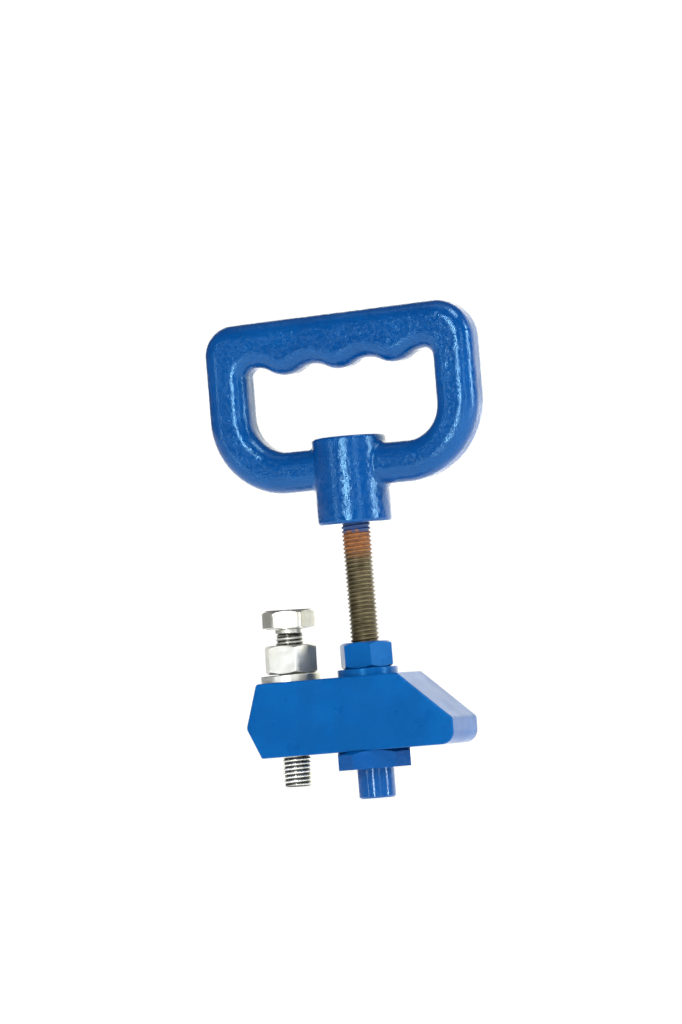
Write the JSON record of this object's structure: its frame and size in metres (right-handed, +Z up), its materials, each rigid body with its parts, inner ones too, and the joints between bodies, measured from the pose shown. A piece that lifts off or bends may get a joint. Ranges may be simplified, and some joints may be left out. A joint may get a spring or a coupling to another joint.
{
  "type": "beam clamp",
  "caption": "Screw clamp with a cast D-handle, a long threaded screw through a wedge-nosed strap, a swivelling pressure foot, a lock nut and a hex heel bolt.",
  "frame": {"origin": "centre of the pressure foot's end face on the clamping screw's axis, with the foot fully drawn up", "axes": "+Z up along the clamping screw towards the handle, +X towards the strap's toe, Y across the strap"},
  "size_m": [0.158, 0.0454, 0.2686],
  "materials": {
    "blue_paint": "smooth satin blue enamel on steel",
    "blue_cast_paint": "glossy blue enamel over a rough casting",
    "zinc_plate": "bright zinc plating",
    "bare_steel": "oiled bare steel with a rusty top end"
  },
  "bodies": {
    "strap": {"strap": "blue_paint", "heel_washer": "zinc_plate"},
    "foot": {"pressure_foot": "blue_paint", "foot_pin": "bare_steel"},
    "spindle": {"clamping_screw": "bare_steel", "handle": "blue_cast_paint"},
    "captive_washer": {"lock_washer": "blue_paint"},
    "lock_nut": {"lock_nut": "blue_paint"},
    "heel_nut": {"heel_nut": "zinc_plate"},
    "heel_bolt": {"heel_bolt": "zinc_plate"}
  },
  "joints": [
    {"name": "foot_travel", "type": "slide", "parent": "strap", "child": "foot", "axis": [0, 0, -1], "range_m": [0, 0.05542]},
    {"name": "spindle_turn", "type": "hinge", "parent": "foot", "child": "spindle", "pos_m": [0, 0, 0.1], "axis": [0, 0, -1], "range_deg": [0, 8640]},
    {"name": "lock_washer_lift", "type": "slide", "parent": "strap", "child": "captive_washer", "axis": [0, 0, 1], "range_m": [0, 0.00462]},
    {"name": "lock_nut_turn", "type": "hinge", "parent": "captive_washer", "child": "lock_nut", "pos_m": [0, 0, 0.078], "axis": [0, 0, 1], "range_deg": [0, 720]},
    {"name": "heel_nut_turn", "type": "hinge", "parent": "strap", "child": "heel_nut", "pos_m": [-0.04466, 0, 0.079], "axis": [0.0262, 0, 0.9997], "range_deg": [-1080, 1260]},
    {"name": "heel_bolt_travel", "type": "slide", "parent": "strap", "child": "heel_bolt", "axis": [-0.0262, 0, -0.9997], "range_m": [-0.00693, 0.00808]}
  ],
  "couplings": [
    {"joint": "foot_travel", "follows": "spindle_turn", "m_per_rad": 0.0003675},
    {"joint": "lock_nut_turn", "follows": "lock_washer_lift", "rad_per_m": 2721.1},
    {"joint": "heel_nut_turn", "follows": "heel_bolt_travel", "rad_per_m": 2721.1}
  ]
}
